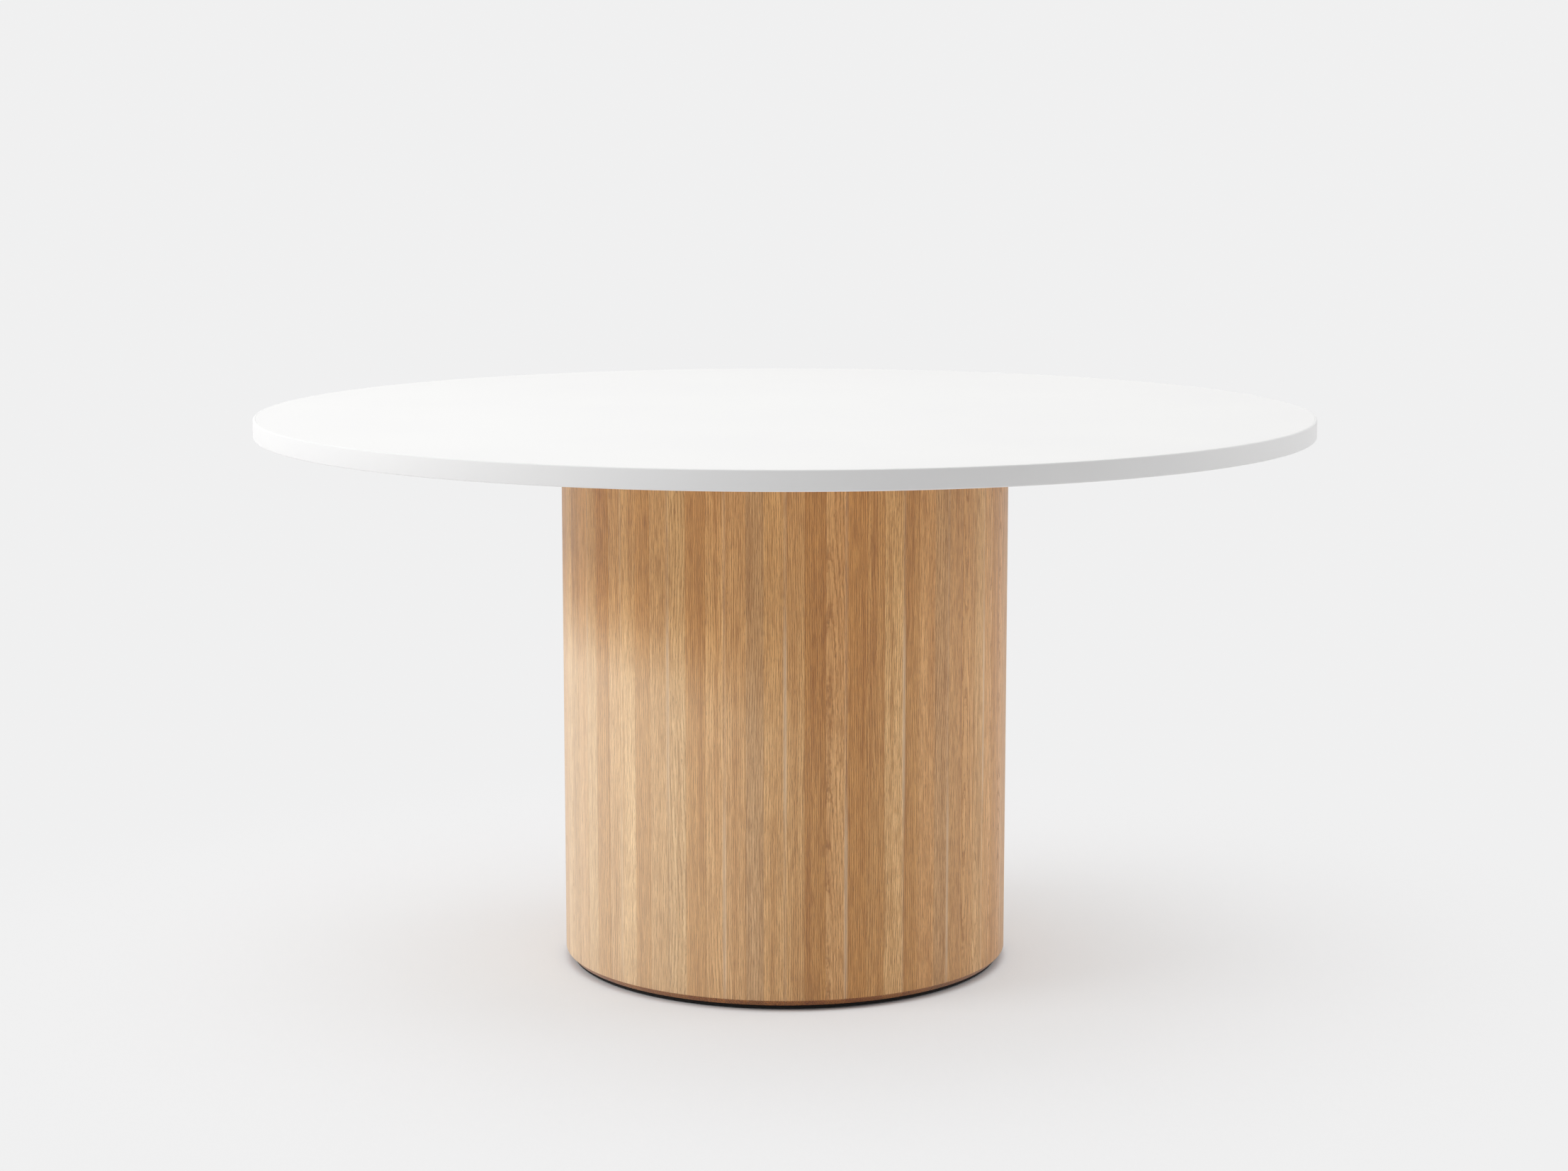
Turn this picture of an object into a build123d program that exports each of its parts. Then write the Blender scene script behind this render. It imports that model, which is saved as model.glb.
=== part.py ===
"""Round pedestal dining table: a thin white laminate top on a wide coopered oak drum.

The drum is built from tongue-and-groove staves glued round three plywood formers. A black plinth board
closes its foot and carries the adjustable levellers that the table stands on. The top is bolted down
from inside the drum. Millimetres, +Z up, origin on the floor under the middle of the table.
"""

import math
import os

from build123d import *

# Overall sizes
table_height = 740.0
top_diameter = 1400.0
drum_diameter = 596.0

# Clearances between pieces
glue_line = 0.1  # glued wood and laminate
thread_clearance = 0.06  # round steel in its threaded or pressed seat
slip_clearance = 0.3  # pieces that are dropped in and screwed down
bolt_clearance = 0.5  # bolts and screws in their through holes

# Table top: board, laminate on both faces and a band round the rim
core_thickness = 23.2
laminate_thickness = 0.9
band_thickness = 3.0
band_arris = 2.0

# Drum wall: staves in glued-up panels, with a tongue on one edge and a groove on the other
panel_count = 24
staves_per_panel = 3
stave_shares = (1.00, 1.07, 0.93, 1.10, 0.86, 1.04, 0.95, 1.05)  # widths, repeated round the drum
wall_thickness = 20.0
stave_bevel = 0.4  # outer corners between the staves of a panel
panel_bevel = 0.8  # outer corners where two panels meet
tongue_thickness = 6.0
tongue_length = 6.0
groove_spare = 0.4  # room for glue at the end of a tongue
foot_chamfer = 8.0
foot_gap = 6.0  # height of the staves' lower ends above the floor

# Formers: plywood rings housed in the staves' inner faces
housing_depth = 5.0
top_former_thickness = 24.0
former_thickness = 18.0
top_former_opening = 400.0
middle_former_opening = 400.0
middle_former_height = 360.0  # middle of that former above the floor

# Fixing of the top: bolts through the top former into threaded inserts
fixing_count = 8
fixing_circle = 478.0
fixing_first_angle = 22.5
bolt_diameter = 8.0
bolt_length = 38.0
bolt_head_across_flats = 13.0
bolt_head_height = 5.3
washer_diameter = 24.0
washer_thickness = 2.0
insert_diameter = 12.0
insert_length = 18.0

# Plinth board, ballast ring and their screws
plinth_thickness = 24.0
plinth_opening = 380.0
plinth_floor_gap = 2.0
plinth_recess = 2.0  # how far its flange stands back from the staves' lower edge
plinth_screw_count = 12
plinth_screw_first_angle = 15.0
plinth_screw_diameter = 5.0
plinth_screw_length = 35.0
plinth_screw_head_diameter = 10.0
ballast_diameter = 524.0
ballast_opening = 350.0
ballast_thickness = 10.0
ballast_screw_count = 6
ballast_screw_first_angle = 30.0
ballast_screw_diameter = 6.0
ballast_screw_length = 24.0
ballast_screw_head_diameter = 12.0
ballast_screw_head_height = 3.0

# Levellers: a swivel pad on a threaded stem with a hexagon collar
leveller_count = 6
leveller_circle = 472.0
leveller_travel = 12.0
pad_diameter = 40.0
pad_height = 7.0
pad_rim_height = 2.5
pad_hub_diameter = 19.0
pad_arris = 0.8
pad_sole = 3.0  # thickness under the stem's spigot
stem_diameter = 10.0
stem_end_chamfer = 1.0
stem_spare = 2.0  # thread above the insert with the leveller screwed right out
collar_across_flats = 14.0
collar_height = 5.0
pocket_diameter = 46.0
leveller_insert_diameter = 13.0

# Sizes worked out from those above
top_radius = top_diameter / 2
top_thickness = core_thickness + 2 * laminate_thickness
top_underside = table_height - top_thickness
core_radius = top_radius - band_thickness - glue_line
drum_radius = drum_diameter / 2
bore_radius = drum_radius - wall_thickness
former_radius = bore_radius + housing_depth - glue_line
top_former_underside = top_underside - top_former_thickness
middle_former_underside = middle_former_height - former_thickness / 2
flange_radius = drum_radius - foot_chamfer - plinth_recess
flange_top = foot_gap - slip_clearance
bottom_former_underside = plinth_floor_gap + plinth_thickness
bottom_former_top = bottom_former_underside + former_thickness
ballast_top = bottom_former_top + ballast_thickness
collar_underside = pad_height + slip_clearance
collar_top = collar_underside + collar_height
pocket_top = collar_top + slip_clearance
stem_hole_radius = stem_diameter / 2 + bolt_clearance
stem_top_height = bottom_former_top + leveller_travel + stem_spare
over = 1.0  # how far a cutting tool runs past the face that it cuts


def polar(radius, angle):
    """A point at that radius and angle, in degrees."""
    return Vector(radius * math.cos(math.radians(angle)), radius * math.sin(math.radians(angle)))


def disc(radius, bottom, top):
    return Pos(0, 0, (bottom + top) / 2) * Cylinder(radius, top - bottom)


def ring(outer, inner, bottom, top):
    return disc(outer, bottom, top) - disc(inner, bottom - over, top + over)


def turned(*points):
    """A solid turned about the vertical axis from (radius, height) points."""
    return revolve(Plane.XZ * make_face(Polyline(*points, close=True)), Axis.Z)


def hexagon(across_flats, bottom, height):
    profile = RegularPolygon(across_flats / 2, 6, major_radius=False)
    return Pos(0, 0, bottom) * extrude(profile, height)


def circle_of(piece, count, circle_diameter, first_angle=0.0):
    """Copies of one piece, evenly spaced on a circle about the table's axis."""
    return [place * piece for place in PolarLocations(circle_diameter / 2, count, first_angle)]


def cut_all(blank, *groups):
    """The blank with every tool of every group cut out of it."""
    tools = [tool for group in groups for tool in group]
    return blank - tools


# Table top


def top_core():
    pocket = disc(insert_diameter / 2 + thread_clearance, top_underside - over, top_underside + insert_length)
    blank = disc(core_radius, top_underside + laminate_thickness, table_height - laminate_thickness)
    return cut_all(blank, circle_of(pocket, fixing_count, fixing_circle, fixing_first_angle))


def top_laminate():
    return disc(core_radius, table_height - laminate_thickness, table_height)


def underside_laminate():
    blank = disc(core_radius, top_underside, top_underside + laminate_thickness)
    hole = disc(insert_diameter / 2 + thread_clearance, top_underside - over, top_underside + insert_length)
    return cut_all(blank, circle_of(hole, fixing_count, fixing_circle, fixing_first_angle))


def edge_band():
    section = Pos(top_radius - band_thickness / 2, top_underside + top_thickness / 2) * Rectangle(
        band_thickness, top_thickness
    )
    outer_corners = section.vertices().sort_by(Axis.X)[-2:]
    return revolve(Plane.XZ * fillet(outer_corners, band_arris), Axis.Z)


def threaded_insert(outer_diameter, bore_diameter, bottom, length):
    return ring(outer_diameter / 2, bore_diameter / 2 + thread_clearance, bottom, bottom + length)


def top_inserts():
    insert = threaded_insert(insert_diameter, bolt_diameter, top_underside, insert_length)
    return circle_of(insert, fixing_count, fixing_circle, fixing_first_angle)


# Drum wall


def stave_angles():
    """The angles, in degrees, at which each stave starts and ends. Half a glue line is left at both."""
    stave_count = panel_count * staves_per_panel
    shares = [stave_shares[stave % len(stave_shares)] for stave in range(stave_count)]
    half_glue = math.degrees(glue_line / 2 / drum_radius)
    start = 0.0
    spans = []
    for share in shares:
        end = start + 360 * share / sum(shares)
        spans.append((start + half_glue, end - half_glue))
        start = end
    return spans


def stave_section(start, end, start_bevel, end_bevel):
    """Cross-section of a stave: rounded faces, bevelled outer corners, a tongue and a groove."""
    middle = (start + end) / 2
    outer_start = polar(drum_radius, start + math.degrees(start_bevel / drum_radius))
    outer_end = polar(drum_radius, end - math.degrees(end_bevel / drum_radius))
    outer_face = ThreePointArc(outer_start, polar(drum_radius, middle), outer_end)
    end_face = Polyline(outer_end, polar(drum_radius - end_bevel, end), polar(bore_radius, end))
    inner_face = ThreePointArc(polar(bore_radius, end), polar(bore_radius, middle), polar(bore_radius, start))
    start_face = Polyline(polar(bore_radius, start), polar(drum_radius - start_bevel, start), outer_start)
    body = make_face([*outer_face.edges(), *end_face.edges(), *inner_face.edges(), *start_face.edges()])
    joint_radius = drum_radius - wall_thickness / 2
    groove_width = tongue_thickness + 2 * glue_line
    groove_depth = tongue_length + groove_spare
    tongue = (
        Pos(polar(joint_radius, end))
        * Rot(0, 0, end)
        * Pos(0, (tongue_length - over) / 2)
        * Rectangle(tongue_thickness, tongue_length + over)
    )
    groove = (
        Pos(polar(joint_radius, start))
        * Rot(0, 0, start)
        * Pos(0, (groove_depth - over) / 2)
        * Rectangle(groove_width, groove_depth + over)
    )
    return body + tongue - groove


def housing(bottom, top):
    """The ring of wood that a former's housing takes out of the staves."""
    return ring(bore_radius + housing_depth, bore_radius - tongue_length, bottom - glue_line, top + glue_line)


def drum_cuts():
    """Cuts that run round the whole drum: the housings of the three formers and the chamfer at the foot."""
    chamfer = turned(
        (drum_radius - foot_chamfer - over, foot_gap - over),
        (drum_radius + over, foot_gap - over),
        (drum_radius + over, foot_gap + foot_chamfer + over),
    )
    return [
        housing(top_former_underside, top_underside + over),
        housing(middle_former_underside, middle_former_underside + former_thickness),
        housing(bottom_former_underside, bottom_former_top),
        chamfer,
    ]


def stave_panel(panel, spans, cuts):
    """The staves of one panel, with the wider bevel on the panel's own two edges."""
    first = panel * staves_per_panel
    last = first + staves_per_panel - 1
    staves = []
    for stave in range(first, last + 1):
        start, end = spans[stave]
        start_bevel = panel_bevel if stave == first else stave_bevel
        end_bevel = panel_bevel if stave == last else stave_bevel
        section = stave_section(start, end, start_bevel, end_bevel)
        blank = Pos(0, 0, foot_gap) * extrude(section, top_underside - foot_gap)
        staves.append(cut_all(blank, cuts))
    return staves


# Formers, plinth board and ballast


def top_former():
    blank = ring(former_radius, top_former_opening / 2, top_former_underside, top_underside)
    hole = disc(bolt_diameter / 2 + bolt_clearance, top_former_underside - over, top_underside + over)
    return cut_all(blank, circle_of(hole, fixing_count, fixing_circle, fixing_first_angle))


def middle_former():
    top = middle_former_underside + former_thickness
    return ring(former_radius, middle_former_opening / 2, middle_former_underside, top)


def bottom_former():
    blank = ring(former_radius, plinth_opening / 2, bottom_former_underside, bottom_former_top)
    seat = disc(
        leveller_insert_diameter / 2 + thread_clearance,
        bottom_former_underside - over,
        bottom_former_top + over,
    )
    plinth_pilot = disc(
        plinth_screw_diameter / 2 + thread_clearance,
        bottom_former_underside - over,
        plinth_floor_gap + plinth_screw_length + over,
    )
    ballast_pilot = disc(
        ballast_screw_diameter / 2 + thread_clearance,
        ballast_top - ballast_screw_length - over,
        bottom_former_top + over,
    )
    return cut_all(
        blank,
        circle_of(seat, leveller_count, leveller_circle),
        circle_of(plinth_pilot, plinth_screw_count, leveller_circle, plinth_screw_first_angle),
        circle_of(ballast_pilot, ballast_screw_count, leveller_circle, ballast_screw_first_angle),
    )


def plinth_board():
    """Board inside the foot of the drum, with a thin flange that runs out under the staves."""
    top = bottom_former_underside
    blank = turned(
        (plinth_opening / 2, plinth_floor_gap),
        (flange_radius, plinth_floor_gap),
        (flange_radius, flange_top),
        (bore_radius - slip_clearance, flange_top),
        (bore_radius - slip_clearance, top),
        (plinth_opening / 2, top),
    )
    pocket = disc(pocket_diameter / 2, plinth_floor_gap - over, pocket_top)
    stem_hole = disc(stem_hole_radius, plinth_floor_gap, top + over)
    screw_radius = plinth_screw_diameter / 2 + bolt_clearance
    head_radius = plinth_screw_head_diameter / 2 + bolt_clearance
    screw_hole = turned(
        (0, plinth_floor_gap - over),
        (head_radius + over, plinth_floor_gap - over),
        (screw_radius, plinth_floor_gap + head_radius - screw_radius),
        (screw_radius, top + over),
        (0, top + over),
    )
    return cut_all(
        blank,
        circle_of(pocket, leveller_count, leveller_circle),
        circle_of(stem_hole, leveller_count, leveller_circle),
        circle_of(screw_hole, plinth_screw_count, leveller_circle, plinth_screw_first_angle),
    )


def ballast_ring():
    blank = ring(ballast_diameter / 2, ballast_opening / 2, bottom_former_top, ballast_top)
    bottom, top = bottom_former_top - over, ballast_top + over
    stem_hole = disc(leveller_insert_diameter / 2 + bolt_clearance, bottom, top)
    screw_hole = disc(ballast_screw_diameter / 2 + bolt_clearance, bottom, top)
    return cut_all(
        blank,
        circle_of(stem_hole, leveller_count, leveller_circle),
        circle_of(screw_hole, ballast_screw_count, leveller_circle, ballast_screw_first_angle),
    )


# Fasteners


def fixing_bolts():
    head_top = top_former_underside - washer_thickness
    head = hexagon(bolt_head_across_flats, head_top - bolt_head_height, bolt_head_height)
    shank = disc(bolt_diameter / 2, head_top, head_top + bolt_length)
    return circle_of(head + shank, fixing_count, fixing_circle, fixing_first_angle)


def fixing_washers():
    bottom = top_former_underside - washer_thickness
    washer = ring(washer_diameter / 2, bolt_diameter / 2 + bolt_clearance, bottom, top_former_underside)
    return circle_of(washer, fixing_count, fixing_circle, fixing_first_angle)


def plinth_screws():
    """Countersunk screws that draw the plinth board up against the bottom former."""
    radius, head_radius = plinth_screw_diameter / 2, plinth_screw_head_diameter / 2
    tip = plinth_floor_gap + plinth_screw_length
    screw = turned(
        (0, plinth_floor_gap),
        (head_radius, plinth_floor_gap),
        (radius, plinth_floor_gap + head_radius - radius),
        (radius, tip - plinth_screw_diameter),
        (0, tip),
    )
    return circle_of(screw, plinth_screw_count, leveller_circle, plinth_screw_first_angle)


def ballast_screws():
    """Pan-head screws that hold the ballast ring down on the bottom former."""
    radius, head_radius = ballast_screw_diameter / 2, ballast_screw_head_diameter / 2
    tip = ballast_top - ballast_screw_length
    screw = turned(
        (0, tip),
        (radius, tip + ballast_screw_diameter),
        (radius, ballast_top),
        (head_radius, ballast_top),
        (head_radius, ballast_top + ballast_screw_head_height / 2),
        (radius, ballast_top + ballast_screw_head_height),
        (0, ballast_top + ballast_screw_head_height),
    )
    return circle_of(screw, ballast_screw_count, leveller_circle, ballast_screw_first_angle)


# Levellers


def leveller_inserts():
    insert = threaded_insert(
        leveller_insert_diameter, stem_diameter, bottom_former_underside, former_thickness
    )
    return circle_of(insert, leveller_count, leveller_circle)


def leveller_pad():
    """Round foot with a low cone on top and a socket for the stem's spigot."""
    rim, hub = pad_diameter / 2, pad_hub_diameter / 2
    socket = stem_diameter / 2 + thread_clearance
    return turned(
        (0, 0),
        (rim - pad_arris, 0),
        (rim, pad_arris),
        (rim, pad_rim_height),
        (hub, pad_height),
        (socket, pad_height),
        (socket, pad_sole),
        (0, pad_sole),
    )


def leveller_stem():
    """Threaded stem: spigot in the pad, hexagon collar for a spanner, shank up through the insert."""
    radius = stem_diameter / 2
    shank = turned(
        (0, pad_sole + slip_clearance),
        (radius, pad_sole + slip_clearance),
        (radius, stem_top_height - stem_end_chamfer),
        (radius - stem_end_chamfer, stem_top_height),
        (0, stem_top_height),
    )
    return shank + hexagon(collar_across_flats, collar_underside, collar_height)


def all_pieces():
    """Every sub-part by name, as a list of its solids."""
    spans, cuts = stave_angles(), drum_cuts()
    pieces = {
        "top_core": [top_core()],
        "top_laminate": [top_laminate()],
        "underside_laminate": [underside_laminate()],
        "edge_band": [edge_band()],
        "top_inserts": top_inserts(),
        "fixing_bolts": fixing_bolts(),
        "fixing_washers": fixing_washers(),
        "top_former": [top_former()],
        "middle_former": [middle_former()],
        "bottom_former": [bottom_former()],
        "plinth_board": [plinth_board()],
        "plinth_screws": plinth_screws(),
        "ballast_ring": [ballast_ring()],
        "ballast_screws": ballast_screws(),
        "leveller_inserts": leveller_inserts(),
    }
    for panel in range(panel_count):
        pieces[f"stave_panel_{panel + 1:02d}"] = stave_panel(panel, spans, cuts)
    pads = circle_of(leveller_pad(), leveller_count, leveller_circle)
    stems = circle_of(leveller_stem(), leveller_count, leveller_circle)
    for number, (pad, stem) in enumerate(zip(pads, stems), start=1):
        pieces[f"leveller_pad_{number}"] = [pad]
        pieces[f"leveller_stem_{number}"] = [stem]
    return pieces


os.makedirs("parts", exist_ok=True)
for name, solids in all_pieces().items():
    export_step(Compound([solid for piece in solids for solid in piece.solids()]), f"parts/{name}.step")
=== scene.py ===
import math
import random

import bpy
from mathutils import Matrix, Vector


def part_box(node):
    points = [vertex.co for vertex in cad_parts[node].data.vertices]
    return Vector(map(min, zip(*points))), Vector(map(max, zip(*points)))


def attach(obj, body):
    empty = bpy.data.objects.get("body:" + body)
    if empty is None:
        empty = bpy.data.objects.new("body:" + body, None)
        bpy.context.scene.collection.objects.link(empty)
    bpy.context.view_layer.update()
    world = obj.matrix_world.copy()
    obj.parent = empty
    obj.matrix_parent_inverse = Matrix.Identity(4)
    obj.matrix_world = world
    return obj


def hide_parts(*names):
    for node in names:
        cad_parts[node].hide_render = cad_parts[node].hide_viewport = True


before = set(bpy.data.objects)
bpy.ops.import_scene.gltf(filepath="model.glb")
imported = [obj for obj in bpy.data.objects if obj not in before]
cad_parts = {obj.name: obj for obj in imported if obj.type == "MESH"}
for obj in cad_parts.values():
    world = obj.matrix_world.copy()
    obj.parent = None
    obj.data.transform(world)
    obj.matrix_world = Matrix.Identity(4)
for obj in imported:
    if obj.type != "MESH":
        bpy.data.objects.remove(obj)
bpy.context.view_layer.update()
mm = 0.001


# Shader sockets written as sums
class Sock:
    def __init__(self, tree, socket=None):
        self.tree = tree
        self.socket = socket

    def feed(self, target, value):
        if isinstance(value, Sock):
            self.tree.links.new(value.socket, target)
        elif isinstance(value, (tuple, list)) and len(value) == 3 and target.type == "RGBA":
            target.default_value = (*value, 1)
        else:
            target.default_value = value

    # any node: its type, its settings, then the values or links of its inputs
    def node(self, kind, settings=None, inputs=None, out=0):
        made = self.tree.nodes.new("ShaderNode" + kind)
        for name, value in (settings or {}).items():
            if name == "stops":
                fillRamp(made.color_ramp, value)
            else:
                setattr(made, name, value)
        for name, value in (inputs or {}).items():
            self.feed(made.inputs[name], value)
        return Sock(self.tree, made.outputs[out])

    def maths(self, operation, *others):
        return self.node("Math", {"operation": operation}, dict(enumerate((self, *others))))

    def __add__(self, other):
        return self.maths("ADD", other)

    def __sub__(self, other):
        return self.maths("SUBTRACT", other)

    def __rsub__(self, other):
        return self.node("Math", {"operation": "SUBTRACT"}, {0: other, 1: self})

    def __mul__(self, other):
        return self.maths("MULTIPLY", other)

    def __truediv__(self, other):
        return self.maths("DIVIDE", other)

    def __rtruediv__(self, other):
        return self.node("Math", {"operation": "DIVIDE"}, {0: other, 1: self})

    __radd__ = __add__
    __rmul__ = __mul__

    def between(self, low, high):  # 0 below low, 1 above high, smooth in between
        settings = {"interpolation_type": "SMOOTHSTEP"}
        return self.node("MapRange", settings, {"Value": self, "From Min": low, "From Max": high})

    def scaled(self, vector):
        return self.node("VectorMath", {"operation": "MULTIPLY"}, {0: self, 1: vector})

    def part(self, letter):
        return self.node("SeparateXYZ", None, {0: self}, letter)

    def mix(self, other, factor, blend="MIX"):  # colours
        settings = {"data_type": "RGBA", "blend_type": blend}
        return self.node("Mix", settings, {0: factor, 6: self, 7: other}, 2)

    def noise(self, scale, detail=2.0, roughness=0.5):  # scale is a vector, in features per metre
        inputs = {"Vector": self.scaled(scale), "Scale": 1.0, "Detail": detail, "Roughness": roughness}
        return self.node("TexNoise", None, inputs, "Fac")

    def ramp(self, *stops):
        return self.node("ValToRGB", {"stops": stops}, {0: self}, "Color")


def fillRamp(ramp, stops):
    while len(ramp.elements) < len(stops):
        ramp.elements.new(1.0)
    for element, (place, shade) in zip(ramp.elements, stops):
        element.position = place
        element.color = (*shade, 1) if isinstance(shade, tuple) else (shade, shade, shade, 1)


# A finish: even values go straight on the shader's sockets, and wear() links the varying ones
def newFinish(name, even):
    material = bpy.data.materials.new(name)
    material.use_nodes = True
    shader = material.node_tree.nodes["Principled BSDF"]
    start = Sock(material.node_tree)
    for socket, value in even.items():
        start.feed(shader.inputs[socket], value)
    return material, start, shader


def wear(shader, look, colour, dull, height=None):
    least, more = look["rough"]
    varying = {"Base Color": colour, "Roughness": least + more * dull}
    if height is not None:
        varying["Normal"] = bump(height, *look["bump"])
    for socket, value in varying.items():
        value.feed(shader.inputs[socket], value)


def bump(height, strength, distance):
    return height.node("Bump", None, {"Height": height, "Strength": strength, "Distance": distance})


def objectPlace(start):
    return start.node("TexCoord", None, None, "Object")


def faceUp(start):  # 1 on level faces, 0 on upright ones
    return start.node("NewGeometry", None, None, "Normal").part("Z").maths("ABSOLUTE")


# Solids as stacks of loops, every loop with as many points as the next
def addStack(points, faces, loops, closed=False):
    first = len(points)
    count = len(loops[0])
    for loop in loops:
        points.extend(loop)
    for row in range(len(loops) if closed else len(loops) - 1):
        low = first + row * count
        high = first + (row + 1) % len(loops) * count
        for i in range(count):
            j = (i + 1) % count
            faces.append((low + i, low + j, high + j, high + i))
    if not closed:
        faces.append(tuple(reversed(range(first, first + count))))
        faces.append(tuple(range(len(points) - count, len(points))))


def makePiece(name, points, faces, material, body, nodes, sharp=32):
    mesh = bpy.data.meshes.new(name)
    mesh.from_pydata(points, [], faces)
    mesh.shade_smooth()
    mesh.set_sharp_from_angle(angle=math.radians(sharp))
    mesh.materials.append(material)
    piece = bpy.data.objects.new(name, mesh)
    bpy.context.scene.collection.objects.link(piece)
    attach(piece, body)
    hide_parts(*nodes)
    return piece


def roundLoop(z, radius, segments, shape=None):
    loop = []
    for i in range(segments):
        angle = 2 * math.pi * i / segments
        r = radius * shape(angle) if shape else radius
        loop.append((r * math.cos(angle), r * math.sin(angle), z))
    return loop


def quarterTurns(steps):
    return [math.pi / 2 * k / steps for k in range(steps + 1)]


def hexShape(angle):  # across flats 2, a corner at angle 0
    return 1 / math.cos(angle % (math.pi / 3) - math.pi / 6)


threadShape = {"slope": 1.25, "crest": 0.12}


def threadLoops(bottom, top, thread, segments):
    pitch, depth, radius = thread["pitch"], thread["depth"], thread["radius"]
    levels = max(2, round((top - bottom) / pitch * thread["stepsPerTurn"]))
    loops = []
    for level in range(levels + 1):
        z = bottom + (top - bottom) * level / levels
        # the thread runs in and out over a turn
        fade = max(0.0, min(1.0, (z - bottom) / pitch, (top - z) / pitch))

        def cut(angle):
            phase = (z / pitch - angle / (2 * math.pi)) % 1
            flank = threadShape["slope"] * (1 - abs(2 * phase - 1)) - threadShape["crest"]
            return 1 - depth * fade * min(1.0, max(0.0, flank)) / radius

        loops.append(roundLoop(z, radius, segments, cut))
    return loops


def placed(loops, x, y, angle):
    c, s = math.cos(angle), math.sin(angle)
    return [[(x + c * px - s * py, y + s * px + c * py, pz) for px, py, pz in loop] for loop in loops]


def ringPlaces(count, radius, firstAngle):
    for k in range(count):
        angle = math.radians(firstAngle) + 2 * math.pi * k / count
        yield radius * math.cos(angle), radius * math.sin(angle), angle


# Oak of the drum
oak = {
    "even": {"Specular IOR Level": 0.7, "Sheen Weight": 0.25, "Sheen Roughness": 0.45},
    # noises, in features per metre across, into and along the log
    "wanderScale": (5, 5, 3.2),
    "swayScale": (30, 30, 3.0),
    "chatterScale": (190, 190, 120),
    "fibreScale": (1100, 1100, 26),
    "streakScale": (130, 130, 1.8),
    "driftScale": (14, 14, 2.4),
    "poreScale": (1400, 1400, 95),
    "pitScale": (850, 850, 25),
    # growth rings: how dark one is from its start to the next, and how far they stray
    "ringWidth": 2.7 * mm,
    "ringShades": (
        (0.0, 0.7), (0.06, 1.0), (0.16, 0.85), (0.34, 0.18), (0.7, 0.0), (0.94, 0.08), (1.0, 0.7),
    ),
    "wander": 0.03,
    "sway": 2.0,
    "chatter": 0.75,
    # tints over the stave's tone, and the band of each noise that brings one in
    "earlyTint": (0.66, 0.54, 0.40),
    "earlyShare": 0.74,
    "fibreTint": (0.71, 0.62, 0.51),
    "paleFibre": (1.09, 1.11, 1.14),
    "fibreBand": (0.44, 0.60),
    "fibreShare": 0.85,
    "paleStreak": (1.10, 1.13, 1.18),
    "darkStreak": (0.86, 0.79, 0.70),
    "streakBand": (0.50, 0.70),
    "driftTint": (0.93, 0.88, 0.82),
    "driftBand": (0.4, 0.75),
    "poreColour": (0.26, 0.125, 0.045),
    "poreBand": (0.53, 0.62),
    "poreShare": 0.6,
    "latePores": 0.2,
    "endTint": (0.58, 0.37, 0.16),
    "endBand": (0.25, 0.6),
    "endPitTint": (0.42, 0.34, 0.26),
    "pitBand": (0.44, 0.58),
    # pale along the panel joints, and a weaker pale all along them that is painted light, lifting the shade
    # in their bevels
    "paleJointColour": (0.84, 0.63, 0.42),
    "paleJointReach": 0.17,
    "paintedJointLift": 0.15,
    "paleJointMore": 0.5,
    "paleJointBand": (0.0, 0.6),
    # painted shade: the wood deeper high up, under the top
    "paintedShadeTint": (0.94, 0.89, 0.77),
    "paintedShadeBand": (0.3, 0.62),
    # painted highlight: the wood paler on one side, below the top's shade
    "paintedHighlightColour": (0.88, 0.71, 0.49),
    "paintedHighlightShare": 0.5,
    "paintedHighlightGain": (1.16, 1.38, 1.78),
    "paintedHighlightBand": (-0.06, 0.08),
    "rough": (0.44, 0.10),
    "endRough": 1.2,
    "ringRelief": 0.5,
    "fibreRelief": 0.3,
    "bump": (0.2, 0.22 * mm),
    "tones": {
        "pale": (0.85, 0.52, 0.225),
        "straw": (0.79, 0.45, 0.177),
        "honey": (0.74, 0.39, 0.13),
        "rose": (0.79, 0.445, 0.178),
        "grey": (0.72, 0.42, 0.185),
        "umber": (0.66, 0.328, 0.096),
    },
}


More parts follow.
